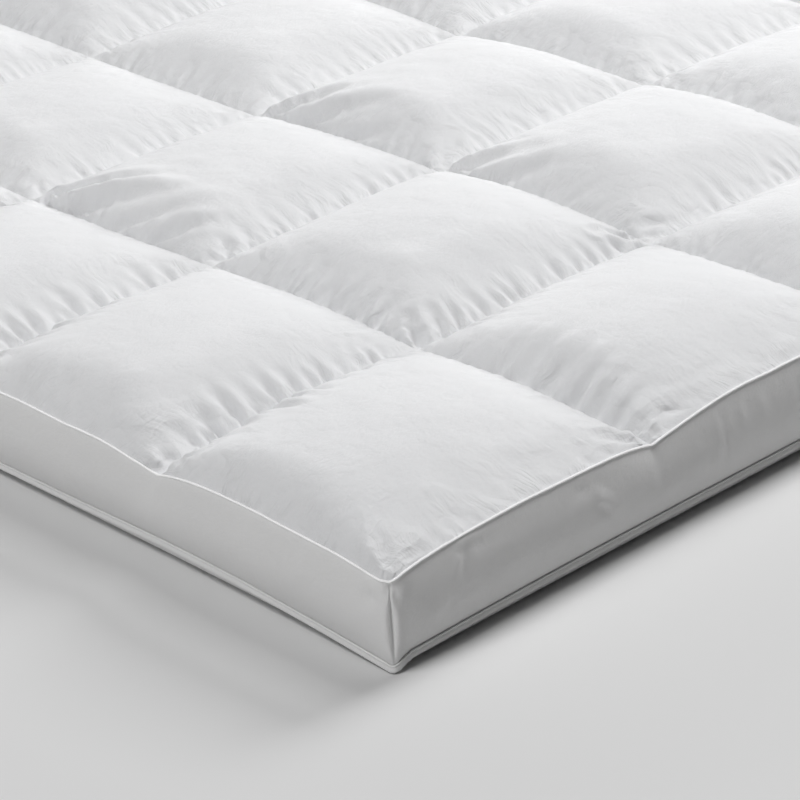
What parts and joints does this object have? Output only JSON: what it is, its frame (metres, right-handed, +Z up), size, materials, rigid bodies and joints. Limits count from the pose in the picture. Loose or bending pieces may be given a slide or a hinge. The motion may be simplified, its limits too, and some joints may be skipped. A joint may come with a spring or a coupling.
{
  "type": "mattress topper",
  "caption": "Thick filled mattress topper, quilted in crowned boxes between sewn channels, with a side band, a piped top edge and a flat folded flange round the bottom edge.",
  "frame": {"origin": "middle of the flat underside, on the surface that the topper lies on", "axes": "+Z up out of the quilted top, X along the longer side, Y along the shorter side"},
  "size_m": [2.054, 1.9524, 0.162],
  "materials": {
    "cotton_shell": "smooth white woven cotton with a faint sheen",
    "cotton_piping": "white cotton rolled round a thin cord",
    "cotton_flange": "white cotton folded flat and pressed"
  },
  "bodies": {
    "root": {"topper_body": "cotton_shell", "top_piping": "cotton_piping", "bottom_flange": "cotton_flange"}
  },
  "joints": []
}
